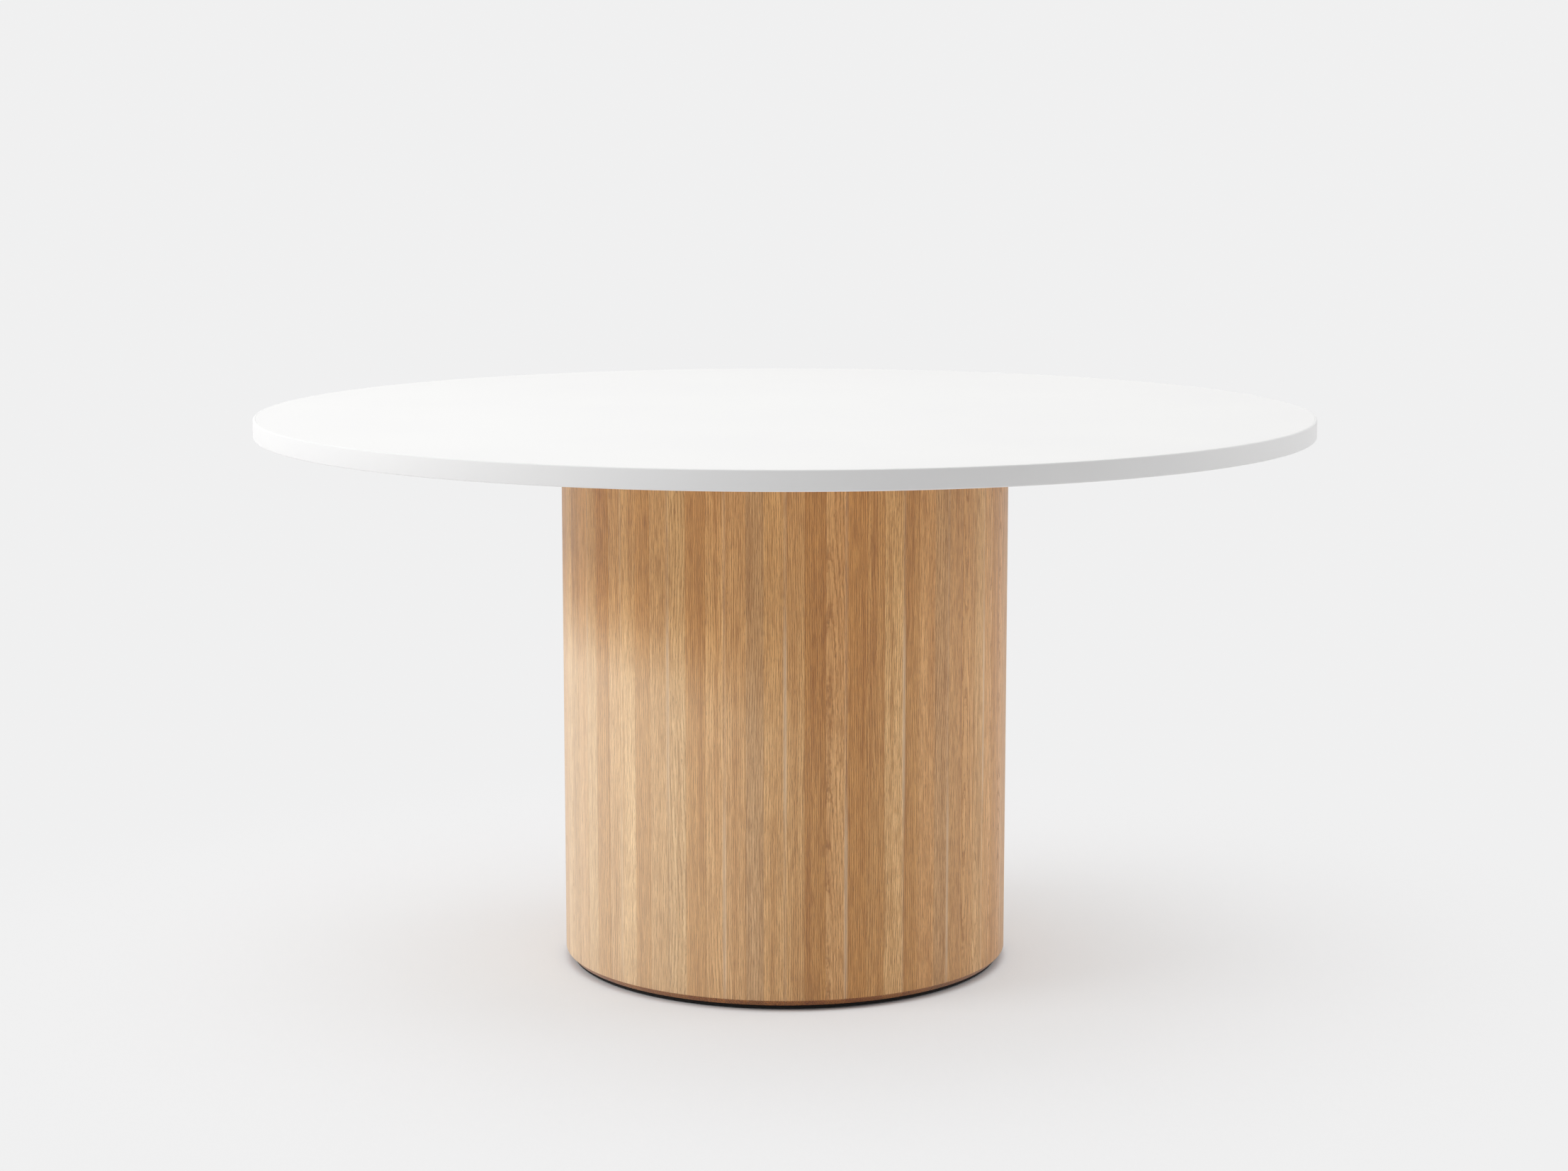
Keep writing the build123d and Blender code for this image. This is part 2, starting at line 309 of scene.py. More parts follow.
def oakFinish():
    material, start, shader = newFinish("oakStaves", oak["even"])

    def stored(name, out="Fac"):
        return start.node("Attribute", {"attribute_name": name}, None, out)

    place = stored("grainPlace", "Vector")
    tone = stored("staveTone", "Color")

    # growth rings round a pith that lies off to one side of the stave and wanders up the log
    wander = (place.noise(oak["wanderScale"], 1.0) - 0.5) * oak["wander"]
    across, deep = place.part("X"), place.part("Y") + wander
    sway = place.noise(oak["swayScale"]) - 0.5
    chatter = place.noise(oak["chatterScale"]) - 0.5
    reach = (across * across + deep * deep).maths("SQRT")
    rings = (reach / oak["ringWidth"] + sway * oak["sway"] + chatter * oak["chatter"]).maths("FRACT")
    early = rings.ramp(*oak["ringShades"])

    # fibres, finer and longer than the rings, then slow bands and pores
    fibre = place.noise(oak["fibreScale"], 2.0, 0.6)
    streak = place.noise(oak["streakScale"])
    drift = place.noise(oak["driftScale"], 1.0)
    pores = place.noise(oak["poreScale"], 1.0).between(*oak["poreBand"])
    pores = pores * (oak["latePores"] + (1 - oak["latePores"]) * early)

    wood = tone
    for tint, amount in (
        ("earlyTint", early * oak["earlyShare"]),
        ("fibreTint", fibre.between(*oak["fibreBand"]) * oak["fibreShare"]),
        ("paleFibre", (1 - fibre).between(*oak["fibreBand"]) * oak["fibreShare"]),
        ("paleStreak", streak.between(*oak["streakBand"])),
        ("darkStreak", (1 - streak).between(*oak["streakBand"])),
        ("driftTint", drift.between(*oak["driftBand"])),
    ):
        wood = wood.mix(oak[tint], amount, "MULTIPLY")
    wood = wood.mix(oak["poreColour"], pores * oak["poreShare"])

    # two tones of painted light, not of the wood: painted shade, deeper high up under the top,
    # and a painted highlight on one side below the top's shade, for part of the light the lacquer throws
    # back
    height = objectPlace(start).part("Z")
    wood = wood.mix(oak["paintedShadeTint"], height.between(*oak["paintedShadeBand"]), "MULTIPLY")
    paintedHighlightMask = stored("hazeAmount") * (stored("hazeTop") - height).between(*oak["paintedHighlightBand"])
    wood = wood.mix(oak["paintedHighlightColour"], paintedHighlightMask * oak["paintedHighlightShare"])
    wood = wood.mix(oak["paintedHighlightGain"], paintedHighlightMask, "MULTIPLY")

    # the chamfer at the foot cuts across the fibres
    normal = start.node("NewGeometry", None, None, "Normal")
    endGrain = (0 - normal.part("Z")).between(*oak["endBand"])
    pits = place.noise(oak["pitScale"]).between(*oak["pitBand"])
    cutWood = tone.mix(oak["endTint"], 1.0, "MULTIPLY").mix(oak["endPitTint"], pits, "MULTIPLY")
    wood = wood.mix(cutWood, endGrain)

    # pale along the panel joints, strongest over part of their height;
    # the weaker pale all along them is painted light, lifting the shade in their bevels
    away = (height - stored("glueHeight")).maths("ABSOLUTE") / oak["paleJointReach"]
    shows = oak["paintedJointLift"] + oak["paleJointMore"] * (1 - away).between(*oak["paleJointBand"])
    wood = wood.mix(oak["paleJointColour"], stored("panelEdge") * (1 - endGrain) * shows)

    dull = early + fibre + endGrain * oak["endRough"]
    relief = (1 - early) * oak["ringRelief"] - pores + fibre * oak["fibreRelief"]
    wear(shader, oak, wood, dull, relief)
    return material


drum = {
    "radius": 298 * mm,
    "wall": 20 * mm,
    "panels": 24,
    "stavesPerPanel": 3,
    "shares": (1.00, 1.07, 0.93, 1.10, 0.86, 1.04, 0.95, 1.05),
    "glueLine": 0.05 * mm,
    "staveBevel": 0.1 * mm,
    "panelBevel": 0.45 * mm,
    "bevelSteps": 2,
    "tongueThickness": 6 * mm,
    "tongueLength": 6 * mm,
    "tongueCover": 0.95 * mm,  # wood left outside the tongue where the chamfer comes close to it
    "grooveSpare": 0.4 * mm,
    "footChamfer": 8 * mm,
    "wornEdge": 0.9 * mm,  # over the chamfer
    "wornShare": 0.3,
    "housing": 5 * mm,
    "formers": ("bottom_former", "middle_former", "top_former"),
    "arcSteps": 9,
    "paleJointHeights": (0.37, 0.14),  # joints show their pale band by turns high and low
    "toneSpread": (0.93, 1.07),
    # where a stave lay in its log, to the side of the pith and in from it, in millimetres
    "figuredShare": 0.2,
    "figured": ((5, 12), (5, 14)),
    "straight": ((45, 110), (15, 70)),
    "lean": 0.03,
    "logLength": 9,
    "seed": 41,
    # tones from 0 degrees round to 360, three staves to a panel
    "toneOrder": (
        "honey straw grey", "rose honey umber", "straw pale honey", "grey umber straw", "honey rose straw",
        "umber honey pale", "straw honey grey", "rose straw umber", "honey grey straw", "pale honey rose",
        "straw umber honey", "rose pale straw",
        "rose straw rose", "pale straw rose", "pale umber straw", "pale honey straw", "pale honey straw",
        "rose grey straw", "straw umber rose", "umber honey pale", "honey rose grey", "rose straw pale",
        "straw honey rose", "rose straw honey",
    ),
}
staveAttributes = {
    "grainPlace": ("FLOAT_VECTOR", "vector"),
    "staveTone": ("FLOAT_COLOR", "color"),
    "panelEdge": ("FLOAT", "value"),
    "glueHeight": ("FLOAT", "value"),
    "hazeAmount": ("FLOAT", "value"),
    "hazeTop": ("FLOAT", "value"),
}
# painted highlight: the side that light falls from, and its elevation, which sets the top's shade line
paintedHighlight = {"azimuth": 204, "elevation": 30, "strength": 0.56}


# painted highlight: how strong at an angle, how high below the shade of a rim of this radius and height
def paintedHighlightOn(angle, rim, underside):
    facing = math.cos(angle - math.radians(paintedHighlight["azimuth"]))
    inward = drum["radius"] * facing
    reach = math.sqrt(inward * inward - drum["radius"] ** 2 + rim * rim) - inward
    amount = paintedHighlight["strength"] * max(0.0, facing) ** 2
    return amount, underside - reach * math.tan(math.radians(paintedHighlight["elevation"]))


def staveLoop(z, start, end, outer, inner, startBevel, endBevel):
    loop = []

    def put(radius, angle, along=0.0):
        x = radius * math.cos(angle) - along * math.sin(angle)
        y = radius * math.sin(angle) + along * math.cos(angle)
        loop.append((x, y, z))

    def corner(angle, bevel, side):  # between the joint face and the outer face
        turns = quarterTurns(drum["bevelSteps"])
        for turn in turns if side > 0 else reversed(turns):
            along = side * bevel * (1 - math.cos(turn))
            put(outer - bevel + bevel * math.sin(turn), angle + along / drum["radius"])

    corner(start, startBevel, 1)
    first = start + startBevel / drum["radius"]
    last = end - endBevel / drum["radius"]
    for k in range(1, drum["arcSteps"]):
        put(outer, first + (last - first) * k / drum["arcSteps"])
    corner(end, endBevel, -1)
    middle = drum["radius"] - drum["wall"] / 2
    half = drum["tongueThickness"] / 2
    outerTongue = min(middle + half, outer - drum["tongueCover"])
    put(outerTongue, end)
    put(outerTongue, end, drum["tongueLength"])
    put(middle - half, end, drum["tongueLength"])
    put(middle - half, end)
    for k in range(drum["arcSteps"] + 1):
        put(inner, end + (start - end) * k / drum["arcSteps"])
    depth = drum["tongueLength"] + drum["grooveSpare"]
    innerGroove = middle - half - drum["glueLine"]
    outerGroove = outerTongue + drum["glueLine"]
    put(innerGroove, start)
    put(innerGroove, start, depth)
    put(outerGroove, start, depth)
    put(outerGroove, start)
    return loop


def staveLevels():
    low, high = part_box("stave_panel_01")
    radius, bore = drum["radius"], drum["radius"] - drum["wall"]
    housed = bore + drum["housing"]
    chamfer, soft = drum["footChamfer"], drum["wornEdge"]
    levels = [
        (low.z, radius - chamfer, bore),
        (low.z + chamfer - soft, radius - soft, bore),
        (low.z + chamfer, radius - drum["wornShare"] * soft, bore),
        (low.z + chamfer + soft, radius, bore),
    ]
    for former in drum["formers"]:
        bottom, top = (corner.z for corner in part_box(former))
        levels.append((bottom - drum["glueLine"], radius, bore))
        levels.append((bottom - drum["glueLine"], radius, housed))
        if top < high.z - mm:  # the top former's housing runs out at the staves' ends
            levels.append((top + drum["glueLine"], radius, housed))
            levels.append((top + drum["glueLine"], radius, bore))
    levels.append((high.z, radius, housed))
    return levels


def staveSpans():
    count = drum["panels"] * drum["stavesPerPanel"]
    shares = [drum["shares"][k % len(drum["shares"])] for k in range(count)]
    half = drum["glueLine"] / 2 / drum["radius"]
    spans = []
    start = 0.0
    for share in shares:
        end = start + 2 * math.pi * share / sum(shares)
        spans.append((start + half, end - half))
        start = end
    return spans


# off to the side of the pith the grain is straight, under it the grain arches
def stavePlace(draw):
    sideways, inward = drum["figured"] if draw.random() < drum["figuredShare"] else drum["straight"]
    side = draw.choice((-1, 1)) * draw.uniform(*sideways) * mm
    depth = draw.uniform(*inward) * mm
    lean = draw.uniform(-drum["lean"], drum["lean"])
    return side, depth, lean, draw.uniform(0, drum["logLength"])


def buildDrum():
    material = oakFinish()
    levels = staveLevels()
    spans = staveSpans()
    rimLow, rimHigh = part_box("edge_band")
    cornerPoints = drum["bevelSteps"] + 1
    endCorner = cornerPoints + drum["arcSteps"] - 1
    draw = random.Random(drum["seed"])
    for panel in range(drum["panels"]):
        points, faces = [], []
        values = {name: [] for name in staveAttributes}
        words = drum["toneOrder"][panel].split()
        for k, word in enumerate(words):
            first, last = k == 0, k == len(words) - 1
            start, end = spans[panel * drum["stavesPerPanel"] + k]
            bevels = [drum["panelBevel"] if outermost else drum["staveBevel"] for outermost in (first, last)]
            loops = [staveLoop(z, start, end, outer, inner, *bevels) for z, outer, inner in levels]
            before = len(points)
            addStack(points, faces, loops)
            side, depth, lean, lift = stavePlace(draw)
            light = draw.uniform(*drum["toneSpread"])
            middle = (start + end) / 2
            tone = [light * part for part in oak["tones"][word]]
            for index, (x, y, z) in enumerate(points[before:]):
                turn = math.atan2(y, x) - middle
                turn = (turn + math.pi) % (2 * math.pi) - math.pi
                across = turn * drum["radius"] + side
                deep = drum["radius"] - math.hypot(x, y) + depth + lean * z
                values["grainPlace"].extend((across, deep, z + lift))
                values["staveTone"].extend((*tone, 1))
                corner = index % len(loops[0])
                atStart = first and corner < cornerPoints
                atEnd = last and endCorner <= corner < endCorner + cornerPoints
                values["panelEdge"].append(1.0 if atStart or atEnd else 0.0)
                joint = panel if turn < 0 and not last else panel + 1
                values["glueHeight"].append(drum["paleJointHeights"][joint % 2])
                # painted highlight on this stave, and how high it reaches below the top's shade
                amount, hazeTop = paintedHighlightOn(middle + turn, rimHigh.x, rimLow.z)
                values["hazeAmount"].append(amount)
                values["hazeTop"].append(hazeTop)
        name = f"stave_panel_{panel + 1:02d}"
        piece = makePiece(f"stavePanel{panel + 1:02d}", points, faces, material, "table", [name])
        for attribute, (kind, field) in staveAttributes.items():
            piece.data.attributes.new(attribute, kind, "POINT").data.foreach_set(field, values[attribute])
    print("drum:", drum["panels"], "panels of", drum["stavesPerPanel"], "staves")


# White top
top = {
    "segments": 384,
    "arris": 2.0 * mm,
    "arrisSteps": 5,
    "sharp": 25,
    "whites": ((0.35, (0.86, 0.86, 0.855)), (0.7, (0.847, 0.847, 0.846))),
}
laminate = {
    "even": {"Specular IOR Level": 0.12},
    "cloudScale": (3, 3, 3),
    "gritScale": (900, 900, 900),
    "rough": (0.66, 0.08),
    "bump": (0.05, 0.05 * mm),
}
edgeBand = {
    "even": {"Specular IOR Level": 0.25},
    "cloudScale": (5, 5, 5),
    "rolledScale": (8, 8, 1500),
    "rough": (0.58, 0.08),
    "bump": (0.06, 0.05 * mm),
}


def laminateFinish():
    material, start, shader = newFinish("whiteLaminate", laminate["even"])
    place = objectPlace(start)
    cloud = place.noise(laminate["cloudScale"])
    grit = place.noise(laminate["gritScale"])
    wear(shader, laminate, cloud.ramp(*top["whites"]), cloud, grit)
    return material


def edgeBandFinish():
    material, start, shader = newFinish("whiteEdgeBand", edgeBand["even"])
    place = objectPlace(start)
    cloud = place.noise(edgeBand["cloudScale"])
    rolled = place.noise(edgeBand["rolledScale"])
    wear(shader, edgeBand, cloud.ramp(*top["whites"]), rolled, rolled)
    return material


def buildEdgeBand():
    low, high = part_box("edge_band")
    outer = high.x
    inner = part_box("top_core")[1].x
    arris = top["arris"]
    turns = quarterTurns(top["arrisSteps"])
    profile = [(inner, high.z), (inner, low.z)]
    for sign, z in ((-1, low.z), (1, high.z)):
        for turn in turns if sign < 0 else reversed(turns):
            profile.append((outer - arris * (1 - math.sin(turn)), z - sign * arris * (1 - math.cos(turn))))
    points, faces = [], []
    loops = [roundLoop(z, radius, top["segments"]) for radius, z in profile]
    addStack(points, faces, loops, closed=True)
    finish = edgeBandFinish()
    makePiece("edgeBand", points, faces, finish, "table", ["edge_band"], top["sharp"])
    print("edge band:", len(profile), "points round its section")


# Boards
fibreboard = {
    "even": {"Specular IOR Level": 0.2},
    "fluffScale": (420, 420, 900),
    "clumpScale": (60, 60, 60),
    "browns": ((0.3, (0.34, 0.24, 0.15)), (0.7, (0.58, 0.44, 0.30))),
    "clumpTint": (0.88, 0.86, 0.84),
    "clumpBand": (0.4, 0.7),
    "rough": (0.8, 0.1),
    "bump": (0.3, 0.2 * mm),
}


def fibreboardFinish():
    material, start, shader = newFinish("fibreboard", fibreboard["even"])
    place = objectPlace(start)
    fluff = place.noise(fibreboard["fluffScale"], 4.0, 0.65)
    clump = place.noise(fibreboard["clumpScale"])
    colour = fluff.ramp(*fibreboard["browns"])
    colour = colour.mix(fibreboard["clumpTint"], clump.between(*fibreboard["clumpBand"]), "MULTIPLY")
    wear(shader, fibreboard, colour, clump, fluff)
    return material


plywood = {
    "plyThickness": 1.4 * mm,
    "grainScale": (26, 312, 26),
    "swayScale": (5, 30, 5),
    "fibreScale": (700, 700, 160),
    "grainShare": 0.75,
    "veneerStops": (0.32, 0.68),
    "plyShare": 0.8,
    "plyStops": ((0.0, 0), (0.42, 0), (0.47, 1), (0.92, 1), (1.0, 0)),  # where, and which edge colour
    "levelBand": (0.4, 0.8),
    "plyRelief": 0.5,
    "fibreRelief": 0.3,
}
birchPly = {
    "even": {"Specular IOR Level": 0.3},
    "face": ((0.60, 0.42, 0.25), (0.76, 0.59, 0.40)),
    "edge": ((0.66, 0.48, 0.30), (0.40, 0.25, 0.14)),
    "rough": (0.58, 0.14),
    "bump": (0.2, 0.2 * mm),
}
blackBoard = {
    "even": {"Specular IOR Level": 0.15},
    "face": ((0.016, 0.015, 0.014), (0.032, 0.031, 0.030)),
    "edge": ((0.015, 0.014, 0.013), (0.007, 0.0065, 0.006)),
    "rough": (0.5, 0.15),
    "bump": (0.25, 0.2 * mm),
}


# level faces show the face veneer, upright faces show the plies
def plywoodFinish(name, look):
    material, start, shader = newFinish(name, look["even"])
    place = objectPlace(start)
    grain = place.noise(plywood["grainScale"], 3.0)
    sway = place.noise(plywood["swayScale"])
    blend = grain * plywood["grainShare"] + sway * (1 - plywood["grainShare"])
    veneer = blend.ramp(*zip(plywood["veneerStops"], look["face"]))
    ply = (place.part("Z") / (2 * plywood["plyThickness"])).maths("FRACT")
    fibre = place.noise(plywood["fibreScale"])
    shade = ply * plywood["plyShare"] + fibre * (1 - plywood["plyShare"])
    edge = shade.ramp(*[(stop, look["edge"][which]) for stop, which in plywood["plyStops"]])
    level = faceUp(start).between(*plywood["levelBand"])
    height = grain * level + ply * (1 - level) * plywood["plyRelief"] + fibre * plywood["fibreRelief"]
    wear(shader, look, edge.mix(veneer, level), height, height)
    return material


# Metals and nylon
ballast = {
    "even": {"Specular IOR Level": 0.5},
    "peelScale": (650, 650, 650),
    "scuffScale": (40, 160, 40),
    "scuffBand": (0.62, 0.70),
    "paints": ((0.3, (0.045, 0.046, 0.05)), (0.7, (0.065, 0.066, 0.07))),
    "scuffColour": (0.16, 0.16, 0.165),
    "scuffShare": 0.6,
    "rough": (0.42, 0.2),
    "bump": (0.12, 0.1 * mm),
}


def ballastFinish():
    material, start, shader = newFinish("ballastSteel", ballast["even"])
    place = objectPlace(start)
    peel = place.noise(ballast["peelScale"], 1.0)
    scuff = place.noise(ballast["scuffScale"], 4.0, 0.7).between(*ballast["scuffBand"])
    colour = peel.ramp(*ballast["paints"]).mix(ballast["scuffColour"], scuff * ballast["scuffShare"])
    wear(shader, ballast, colour, scuff, peel)
    return material


zinc = {
    "even": {"Metallic": 1.0},
    "cloudScale": (220, 220, 220),
    "drawnScale": (2200, 2200, 300),
    "greys": ((0.3, (0.55, 0.56, 0.58)), (0.55, (0.67, 0.67, 0.66)), (0.75, (0.70, 0.66, 0.57))),
    "rough": (0.24, 0.18),
    "bump": (0.06, 0.05 * mm),
}


def zincFinish():
    material, start, shader = newFinish("zincSteel", zinc["even"])
    place = objectPlace(start)
    cloud = place.noise(zinc["cloudScale"], 3.0)
    drawn = place.noise(zinc["drawnScale"])
    wear(shader, zinc, cloud.ramp(*zinc["greys"]), drawn, drawn)
    return material


blackScrew = {
    "even": {"Metallic": 1.0},
    "cloudScale": (500, 500, 500),
    "blacks": ((0.3, (0.022, 0.022, 0.024)), (0.7, (0.05, 0.05, 0.053))),
    "wornColour": (0.25, 0.25, 0.25),
    "wornBand": (0.62, 0.78),
    "wornShare": 0.5,
    "rough": (0.40, 0.15),
}


def blackScrewFinish():
    material, start, shader = newFinish("blackScrew", blackScrew["even"])
    cloud = objectPlace(start).noise(blackScrew["cloudScale"], 3.0)
    worn = cloud.between(*blackScrew["wornBand"]) * blackScrew["wornShare"]
    wear(shader, blackScrew, cloud.ramp(*blackScrew["blacks"]).mix(blackScrew["wornColour"], worn), cloud)
    return material


brass = {
    "even": {"Metallic": 1.0},
    "turnedScale": (60, 60, 4000),
    "dullScale": (300, 300, 300),
    "yellows": ((0.3, (0.62, 0.43, 0.17)), (0.7, (0.78, 0.60, 0.30))),
    "rough": (0.25, 0.15),
    "bump": (0.1, 0.05 * mm),
}


def brassFinish():
    material, start, shader = newFinish("turnedBrass", brass["even"])
    place = objectPlace(start)
    turned = place.noise(brass["turnedScale"], 1.0)
    dull = place.noise(brass["dullScale"], 3.0)
    wear(shader, brass, dull.ramp(*brass["yellows"]), dull, turned)
    return material


nylon = {
    "even": {"Specular IOR Level": 0.45},
    "sparkScale": (2600, 2600, 2600),
    "rubScale": (120, 40, 120),
    "rubBand": (0.55, 0.68),
    "rubFacing": (0.9, 0.99),
    "blacks": ((0.3, (0.014, 0.014, 0.015)), (0.7, (0.024, 0.024, 0.025))),
    "rubColour": (0.055, 0.055, 0.055),
    "rough": (0.5, 0.12),
    "bump": (0.15, 0.05 * mm),
}


def nylonFinish():
    material, start, shader = newFinish("blackNylon", nylon["even"])
    place = objectPlace(start)
    spark = place.noise(nylon["sparkScale"], 1.0)
    rub = place.noise(nylon["rubScale"], 4.0, 0.7).between(*nylon["rubBand"])
    rub = rub * faceUp(start).between(*nylon["rubFacing"])
    wear(shader, nylon, spark.ramp(*nylon["blacks"]).mix(nylon["rubColour"], rub), spark, spark)
    return material


# Fasteners and levellers
fastener = {
    "sharp": 28,
    "arris": 0.2 * mm,
    "tip": 0.15 * mm,
    "pointRadii": 2,
    "recessPoint": 0.3,
}


def makeRing(name, sizes, loops, material, node):
    points, faces = [], []
    for place in ringPlaces(sizes["count"], sizes["circle"], sizes["firstAngle"]):
        addStack(points, faces, placed(loops, *place))
    makePiece(name, points, faces, material, "table", [node], fastener["sharp"])
    print(f"{name}:", sizes["count"])


bolts = {
    "count": 8,
    "circle": 239 * mm,
    "firstAngle": 22.5,
    "acrossFlats": 13 * mm,
    "headHeight": 5.3 * mm,
    "headChamfer": 1.0 * mm,
    "faceShare": 0.90,
    "rimShare": 0.965,
    "seatShare": 0.97,
    "seatChamfer": 0.3 * mm,
    "plainShank": 13 * mm,
    "endChamfer": 0.8 * mm,
    "segments": 36,
    "thread": {"pitch": 1.25 * mm, "depth": 0.65 * mm, "radius": 4 * mm, "stepsPerTurn": 6},
}


def buildBolts(material):
    low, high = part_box("fixing_bolts")
    half = bolts["acrossFlats"] / 2
    n = bolts["segments"]
    under = low.z + bolts["headHeight"]
    shank = bolts["thread"]["radius"]
    end = high.z - bolts["endChamfer"]
    loops = [
        roundLoop(low.z, bolts["faceShare"] * half, n),
        roundLoop(low.z + fastener["arris"], bolts["rimShare"] * half, n),
        roundLoop(low.z + bolts["headChamfer"], half, n, hexShape),
        roundLoop(under - bolts["seatChamfer"], half, n, hexShape),
        roundLoop(under, bolts["seatShare"] * half, n),
        roundLoop(under, shank, n),
        *threadLoops(under + bolts["plainShank"], end, bolts["thread"], n),
        roundLoop(high.z, shank - bolts["endChamfer"], n),
    ]
    makeRing("fixingBolts", bolts, loops, material, "fixing_bolts")


plinthScrews = {
    "count": 12,
    "circle": 236 * mm,
    "firstAngle": 15,
    "headRadius": 5 * mm,
    "recessAcrossFlats": 4 * mm,
    "recessDepth": 2.2 * mm,
    "recessCone": 0.5 * mm,
    "plainNeck": 3 * mm,
    "segments": 24,
    "thread": {"pitch": 2.2 * mm, "depth": 0.75 * mm, "radius": 2.5 * mm, "stepsPerTurn": 7},
}


def buildPlinthScrews(material):
    low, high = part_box("plinth_screws")
    n, arris = plinthScrews["segments"], fastener["arris"]
    head, radius = plinthScrews["headRadius"], plinthScrews["thread"]["radius"]
    recess = plinthScrews["recessAcrossFlats"] / 2
    floor = low.z + plinthScrews["recessDepth"]
    neck = low.z + head - radius
    point = high.z - fastener["pointRadii"] * radius
    loops = [
        roundLoop(floor + plinthScrews["recessCone"], fastener["recessPoint"] * recess, n),
        roundLoop(floor, recess, n, hexShape),
        roundLoop(low.z + arris, recess, n, hexShape),
        roundLoop(low.z, recess + arris, n, hexShape),
        roundLoop(low.z, head - arris, n),
        roundLoop(low.z + arris, head - arris, n),
        roundLoop(neck, radius, n),
        *threadLoops(neck + plinthScrews["plainNeck"], point, plinthScrews["thread"], n),
        roundLoop(high.z, fastener["tip"], n),
    ]
    makeRing("plinthScrews", plinthScrews, loops, material, "plinth_screws")


ballastScrews = {
    "count": 6,
    "circle": 236 * mm,
    "firstAngle": 30,
    "headRadius": 6 * mm,
    "headHeight": 3 * mm,
    "rimHeight": 1.2 * mm,
    "domeInset": 2.5 * mm,
    "domeSteps": 4,
    "recessAcrossFlats": 4 * mm,
    "recessDepth": 1.8 * mm,
    "recessCone": 0.4 * mm,
    "plainShank": 10 * mm,
    "segments": 24,
    "thread": {"pitch": 2.6 * mm, "depth": 0.9 * mm, "radius": 3 * mm, "stepsPerTurn": 7},
}


def buildBallastScrews(material):
    low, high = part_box("ballast_screws")
    n, arris = ballastScrews["segments"], fastener["arris"]
    head, radius = ballastScrews["headRadius"], ballastScrews["thread"]["radius"]
    recess = ballastScrews["recessAcrossFlats"] / 2
    floor = high.z - ballastScrews["recessDepth"]
    seat = high.z - ballastScrews["headHeight"]
    rim = seat + ballastScrews["rimHeight"]
    point = low.z + fastener["pointRadii"] * radius
    loops = [
        roundLoop(low.z, fastener["tip"], n),
        *threadLoops(point, seat - ballastScrews["plainShank"], ballastScrews["thread"], n),
        roundLoop(seat, radius, n),
        roundLoop(seat, head - arris, n),
        roundLoop(seat + arris, head, n),
    ]
    for turn in quarterTurns(ballastScrews["domeSteps"]):
        inset = (1 - math.cos(turn)) * ballastScrews["domeInset"]
        loops.append(roundLoop(rim + (high.z - rim) * math.sin(turn), head - inset, n))
    loops += [
        roundLoop(high.z, recess + arris, n, hexShape),
        roundLoop(high.z - arris, recess, n, hexShape),
        roundLoop(floor, recess, n, hexShape),
        roundLoop(floor - ballastScrews["recessCone"], fastener["recessPoint"] * recess, n),
    ]
    makeRing("ballastScrews", ballastScrews, loops, material, "ballast_screws")


levellers = {
    "count": 6,
    "circle": 236 * mm,
    "firstAngle": 0,
    "edge": 0.3 * mm,
    "padSegments": 64,
    "padArris": 0.8 * mm,
    "arrisSteps": 4,
    "padRimHeight": 2.5 * mm,
    "padHub": 9.5 * mm,
    "hubFlare": 0.6 * mm,
    "hubDrop": 0.35 * mm,
    "padSole": 3 * mm,
    "padCentre": 0.5 * mm,
    "soleRecess": 0.4 * mm,
    "soleSlope": 0.4 * mm,
    "soleLand": 4 * mm,
    "socketClearance": 0.06 * mm,
    "stemSegments": 36,
    "collarAcrossFlats": 14 * mm,
    "collarHeight": 5 * mm,
    "collarGap": 0.3 * mm,
    "collarBevel": 0.8 * mm,
    "collarShare": 0.95,
    "plainNeck": 1 * mm,
    "endChamfer": 1 * mm,
    "thread": {"pitch": 1.5 * mm, "depth": 0.8 * mm, "radius": 5 * mm, "stepsPerTurn": 8},
}


def padLoops(low, high):
    rim = (high.x - low.x) / 2
    arris, edge = levellers["padArris"], levellers["edge"]
    hub, centre = levellers["padHub"], levellers["padCentre"]
    socket = levellers["thread"]["radius"] + levellers["socketClearance"]
    hollow = rim - levellers["soleLand"]
    shoulder = low.z + levellers["padRimHeight"]
    turns = quarterTurns(levellers["arrisSteps"])
    profile = [
        (centre, low.z + levellers["soleRecess"]),
        (hollow - levellers["soleSlope"], low.z + levellers["soleRecess"]),
        (hollow, low.z),
    ]
    for turn in turns:
        profile.append((rim - arris * (1 - math.sin(turn)), low.z + arris * (1 - math.cos(turn))))
    for turn in turns[:-1]:
        profile.append((rim - arris * (1 - math.cos(turn)), shoulder - arris * (1 - math.sin(turn))))
    profile += [
        (hub + levellers["hubFlare"], high.z - levellers["hubDrop"]),
        (hub - edge, high.z),
        (socket + edge, high.z),
        (socket, high.z - edge),
        (socket, low.z + levellers["padSole"]),
        (centre, low.z + levellers["padSole"]),
    ]
    return [roundLoop(z, radius, levellers["padSegments"]) for radius, z in profile]


def stemLoops(low, high, padTop):
    n = levellers["stemSegments"]
    radius, edge = levellers["thread"]["radius"], levellers["edge"]
    half, bevel = levellers["collarAcrossFlats"] / 2, levellers["collarBevel"]
    under = padTop + levellers["collarGap"]
    over = under + levellers["collarHeight"]
    end = high.z - levellers["endChamfer"]
    return [
        roundLoop(low.z, radius - edge, n),
        roundLoop(low.z + edge, radius, n),
        roundLoop(under, radius, n),
        roundLoop(under, levellers["collarShare"] * half, n),
        roundLoop(under + bevel, half, n, hexShape),
        roundLoop(over - bevel, half, n, hexShape),
        roundLoop(over, levellers["collarShare"] * half, n),
        roundLoop(over, radius, n),
        *threadLoops(over + levellers["plainNeck"], end, levellers["thread"], n),
        roundLoop(high.z, radius - levellers["endChamfer"], n),
    ]


